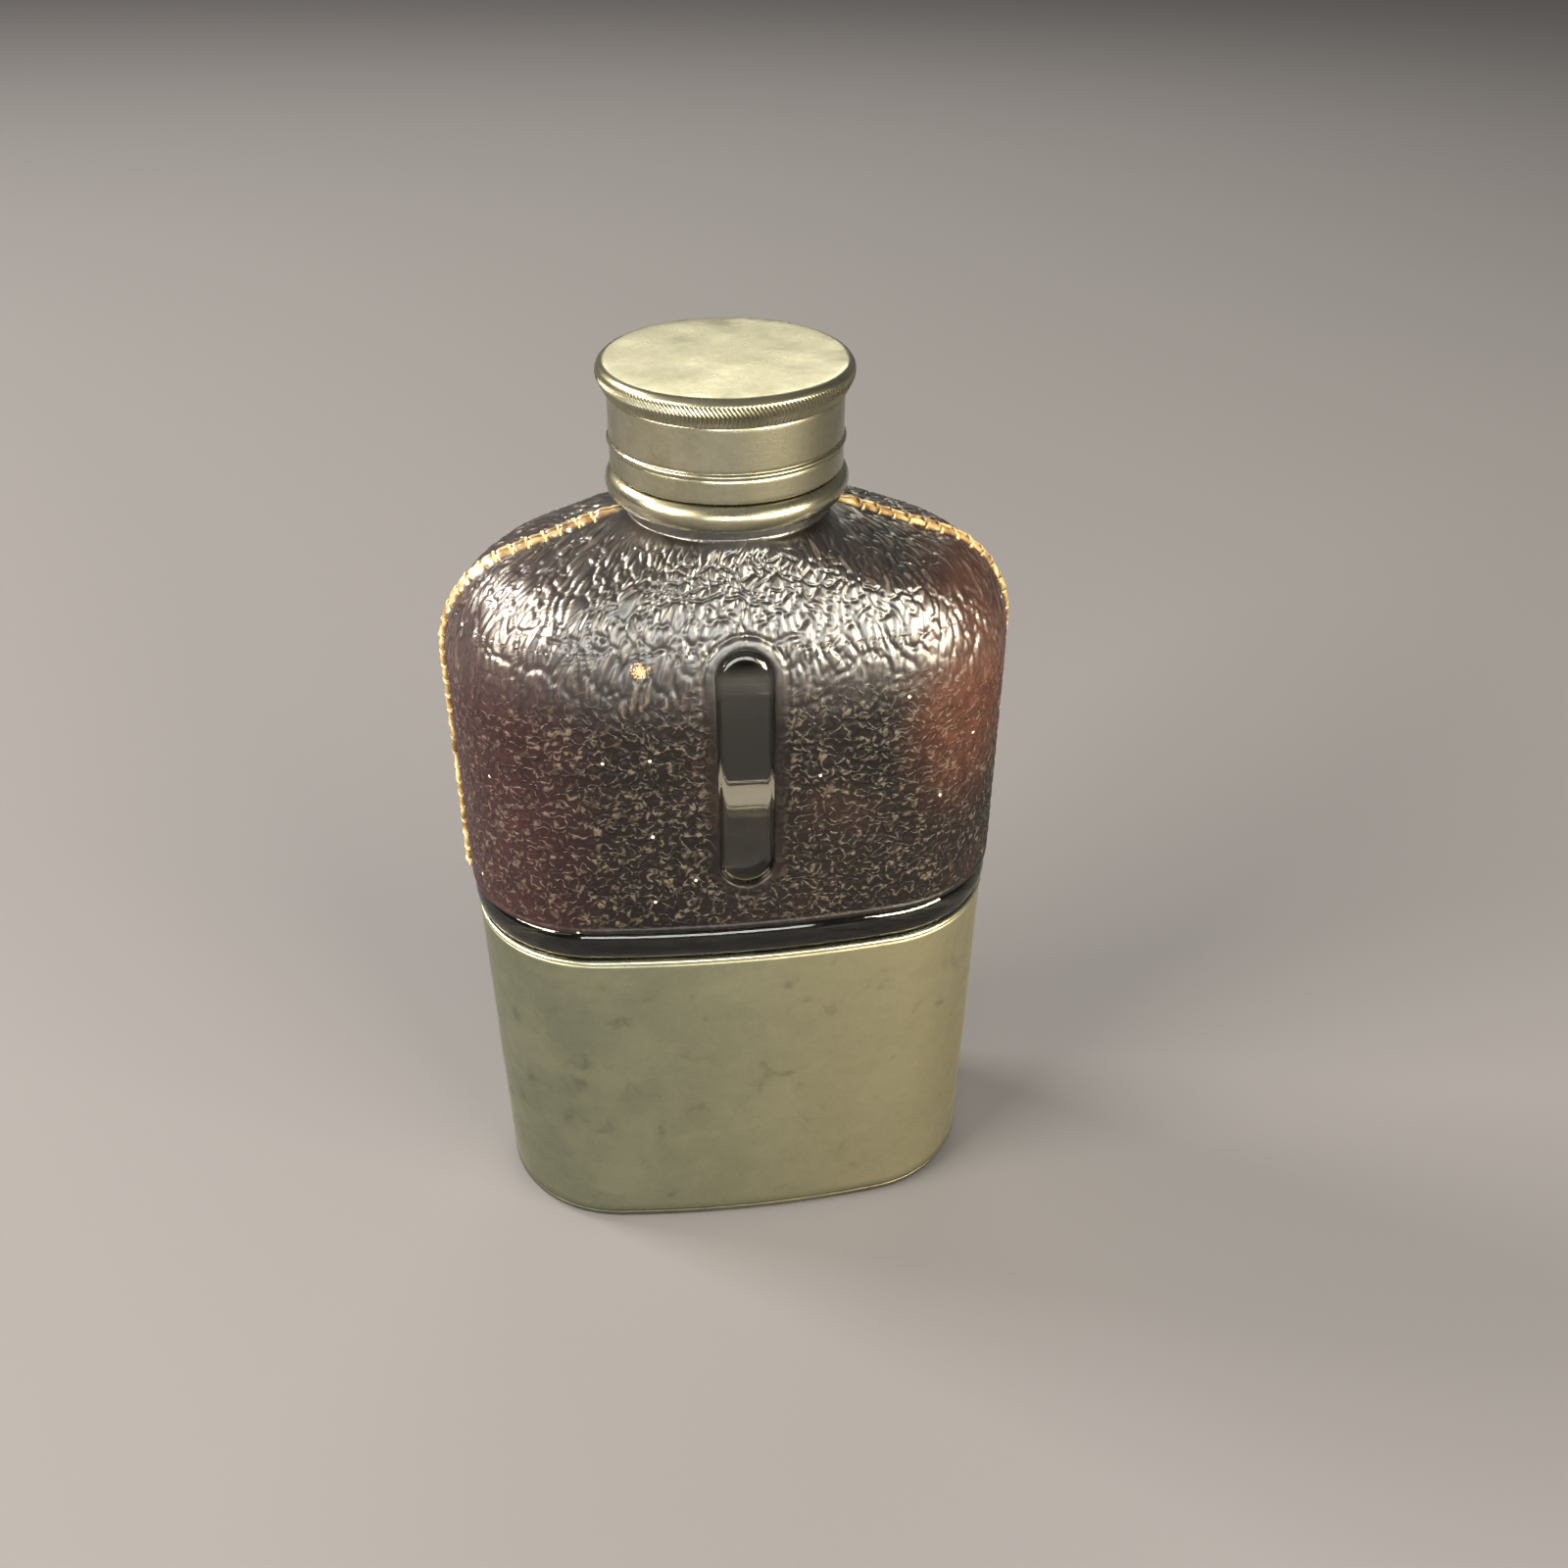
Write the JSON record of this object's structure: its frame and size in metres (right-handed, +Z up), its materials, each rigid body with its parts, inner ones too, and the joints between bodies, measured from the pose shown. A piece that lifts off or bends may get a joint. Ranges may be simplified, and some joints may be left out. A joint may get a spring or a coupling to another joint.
{
  "type": "hip flask",
  "caption": "Glass hip flask with a leather-covered shoulder, sight window, screw cap with cork liner and a pull-off metal drinking cup over the base.",
  "frame": {"origin": "bottom centre of the drinking cup, on the surface that the flask stands on", "axes": "+Z up along the neck's axis, the front with the sight window faces -Y, +X to the right seen from the front"},
  "size_m": [0.0772, 0.04, 0.1301],
  "materials": {
    "glass": "clear moulded glass",
    "leather": "dark brown grained hide, worn",
    "linen_thread": "waxed linen thread",
    "collar_metal": "worn nickel plate",
    "cement": "plaster cement",
    "cap_metal": "worn nickel plate",
    "cork": "natural cork",
    "tinned_brass": "tinned sheet",
    "cup_metal": "tarnished plate, mottled",
    "cup_rim_metal": "rubbed bright edge"
  },
  "bodies": {
    "flask": {"glass_bottle": "glass", "leather_front": "leather", "leather_back": "leather", "seam_thread_left": "linen_thread", "seam_thread_right": "linen_thread", "neck_collar": "collar_metal", "neck_cement": "cement"},
    "cork_liner": {"cork_disc": "cork", "cork_backing": "tinned_brass"},
    "cap": {"cap_skirt": "cap_metal", "cap_disc": "cap_metal", "cap_thread_ring": "cap_metal", "cap_inner_plate": "cap_metal"},
    "cup": {"cup_wall": "cup_metal", "cup_rim": "cup_rim_metal", "cup_base": "cup_metal"}
  },
  "joints": [
    {"name": "cap_rise", "type": "slide", "parent": "flask", "child": "cork_liner", "axis": [0, 0, 1], "range_m": [0, 0.0241]},
    {"name": "cap_turn", "type": "hinge", "parent": "cork_liner", "child": "cap", "pos_m": [0, 0, 0.12], "axis": [0, 0, 1], "range_deg": [0, 2880]},
    {"name": "cup_pull", "type": "slide", "parent": "flask", "child": "cup", "axis": [0, 0, -1], "range_m": [0, 0.06]}
  ],
  "couplings": [
    {"joint": "cap_rise", "follows": "cap_turn", "m_per_rad": 0.00047746}
  ]
}
